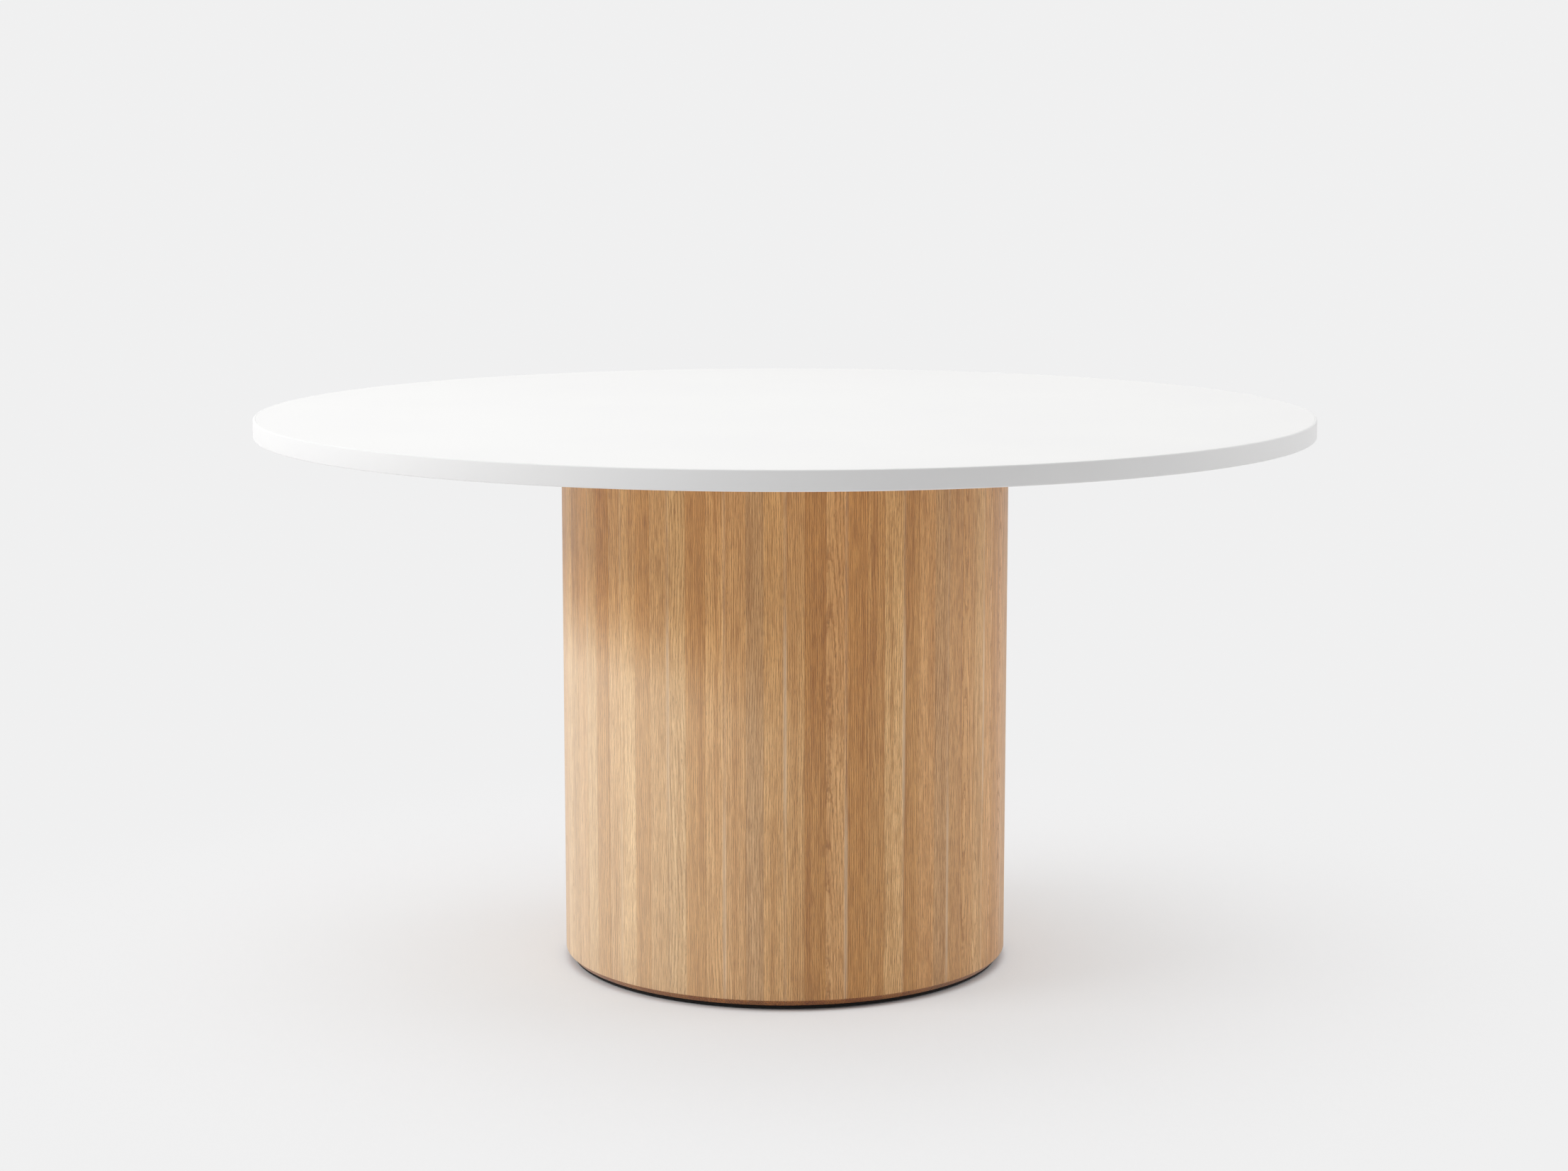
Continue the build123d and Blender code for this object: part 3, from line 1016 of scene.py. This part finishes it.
def buildLevellers(padMaterial, stemMaterial):
    places = ringPlaces(levellers["count"], levellers["circle"], levellers["firstAngle"])
    for k, place in enumerate(places, start=1):
        pad, stem = f"leveller_pad_{k}", f"leveller_stem_{k}"
        padLow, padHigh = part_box(pad)
        stemLow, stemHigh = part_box(stem)
        for name, loops, material, node, slot in (
            (f"levellerPad{k}", padLoops(padLow, padHigh), padMaterial, pad, "black_nylon"),
            (f"levellerStem{k}", stemLoops(stemLow, stemHigh, padHigh.z), stemMaterial, stem, "zinc_steel"),
        ):
            points, faces = [], []
            addStack(points, faces, placed(loops, *place))
            makePiece(name, points, faces, material, node, [node], fastener["sharp"])
    print("levellers:", levellers["count"])


# Nodes whose shape is already right keep it and get their finish
def dress(material, *nodes):
    for node in nodes:
        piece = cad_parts[node]
        if piece.material_slots:
            piece.material_slots[0].material = material
        else:
            piece.data.materials.append(material)


def dressBoards(washerMaterial):
    dress(laminateFinish(), "top_laminate", "underside_laminate")
    dress(fibreboardFinish(), "top_core")
    dress(plywoodFinish("birchPly", birchPly), "top_former", "middle_former", "bottom_former")
    dress(plywoodFinish("blackBoard", blackBoard), "plinth_board")
    dress(ballastFinish(), "ballast_ring")
    dress(washerMaterial, "fixing_washers")
    dress(brassFinish(), "top_inserts", "leveller_inserts")
    print("boards and inserts: dressed")


# Studio
studio = {
    "backdrop": (0.872, 0.872, 0.874),
    "papers": ((0.3, (0.8865, 0.8865, 0.89635)), (0.7, (0.90, 0.90, 0.91))),
    "paperScale": (260, 260, 260),
    "paperBump": (0.15, 1.0 * mm),
    "floorHeight": -0.2 * mm,
    "floorRadius": 40.0,
    "openRadius": 0.27,
    "segments": 96,
    "fadeBand": (-0.6, 1.4),
    "contactBand": (0.29, 0.305),
    "lightColour": (1.0, 0.995, 0.99),
    "frontLight": 0.27,
    "roundLight": 0.66,
    "frontBand": (-0.95, -0.1),
}


def seenRays(start):  # 1 where the eye sees it, straight or in a reflection
    kinds = ("Camera", "Glossy", "Transmission")
    straight, mirrored, through = [start.node("LightPath", None, None, f"Is {kind} Ray") for kind in kinds]
    return (straight + mirrored + through).maths("MINIMUM", 1.0)


def buildFloor():
    material = bpy.data.materials.new("studioFloor")
    material.use_nodes = True
    tree = material.node_tree
    tree.nodes.clear()
    start = Sock(tree)
    place = objectPlace(start)
    away = place.node("VectorMath", {"operation": "LENGTH"}, {0: place}, "Value")
    grain = place.noise(studio["paperScale"], 3.0)
    paper = grain.ramp(*studio["papers"])
    matt = start.node("BsdfDiffuse", None, {"Color": paper, "Normal": bump(grain, *studio["paperBump"])})
    glow = start.node("Emission", None, {"Color": studio["backdrop"], "Strength": 1.0})
    fade = away.between(*studio["fadeBand"]) * seenRays(start) * away.between(*studio["contactBand"])
    lit = start.node("MixShader", None, {0: fade, 1: matt, 2: glow})
    clear = start.node("BsdfTransparent")
    under = start.node("NewGeometry", None, None, "Backfacing")
    both = start.node("MixShader", None, {0: under, 1: lit, 2: clear})
    output = tree.nodes.new("ShaderNodeOutputMaterial")
    tree.links.new(both.socket, output.inputs["Surface"])

    # The floor is open under the drum, so light reaches its foot when it is seen from below.
    count = studio["segments"]
    points = []
    for radius in (studio["openRadius"], studio["floorRadius"]):
        points.extend(roundLoop(studio["floorHeight"], radius, count))
    steps = [(k, (k + 1) % count) for k in range(count)]
    faces = [(here, count + here, count + after, after) for here, after in steps]
    mesh = bpy.data.meshes.new("studioFloor")
    mesh.from_pydata(points, [], faces)
    mesh.materials.append(material)
    floor = bpy.data.objects.new("studioFloor", mesh)
    bpy.context.scene.collection.objects.link(floor)


def buildWorld():
    world = bpy.data.worlds.new("studioWorld")
    bpy.context.scene.world = world
    world.use_nodes = True
    tree = world.node_tree
    tree.nodes.clear()
    start = Sock(tree)
    shown = start.node("Background", None, {"Color": studio["backdrop"], "Strength": 1.0})
    towardsBack = start.node("TexCoord", None, None, "Generated").part("Y").between(*studio["frontBand"])
    level = studio["frontLight"] + (studio["roundLight"] - studio["frontLight"]) * towardsBack
    light = start.node("Background", None, {"Color": studio["lightColour"], "Strength": level})
    both = start.node("MixShader", None, {0: seenRays(start), 1: light, 2: shown})
    output = tree.nodes.new("ShaderNodeOutputWorld")
    tree.links.new(both.socket, output.inputs["Surface"])


lamps = {
    "keyLeft": {"place": (-4.1, -1.4, 2.7), "aim": (0, 0, 0.5), "size": (2.6, 1.2), "power": 87},
    "overhead": {"place": (-0.3, 0.4, 4.4), "aim": (0, 0, 0.7), "size": (4.0, 4.0), "power": 55},
    "fillRight": {"place": (4.5, 0.6, 2.4), "aim": (0, 0, 0.5), "size": (2.5, 1.6), "power": 38},
}


def buildLamps():
    for name, lamp in lamps.items():
        data = bpy.data.lights.new(name, "AREA")
        data.shape = "RECTANGLE"
        data.size, data.size_y = lamp["size"]
        data.energy = lamp["power"]
        holder = bpy.data.objects.new(name, data)
        holder.location = lamp["place"]
        aim = Vector(lamp["aim"]) - holder.location
        holder.rotation_euler = aim.to_track_quat("-Z", "Y").to_euler()
        bpy.context.scene.collection.objects.link(holder)


view = {
    "place": (-0.0013, -4.1535, 1.1319),
    "pitchDown": 8.594,
    "lens": 71.73,
    "sensor": 36.0,
    "farthest": 200,
}


def buildCamera():
    data = bpy.data.cameras.new("photoCamera")
    data.lens = view["lens"]
    data.sensor_fit = "HORIZONTAL"
    data.sensor_width = view["sensor"]
    data.clip_end = view["farthest"]
    holder = bpy.data.objects.new("photoCamera", data)
    holder.location = view["place"]
    holder.rotation_euler = (math.radians(90 - view["pitchDown"]), 0, 0)
    bpy.context.scene.collection.objects.link(holder)
    bpy.context.scene.camera = holder


zincSteel = zincFinish()
buildDrum()
buildEdgeBand()
dressBoards(zincSteel)
buildBolts(zincSteel)
buildPlinthScrews(blackScrewFinish())
buildBallastScrews(zincSteel)
buildLevellers(nylonFinish(), zincSteel)
buildFloor()
buildWorld()
buildLamps()
buildCamera()
bpy.context.scene.view_settings.view_transform = "Standard"
print("studio: floor, world,", len(lamps), "lamps and camera")
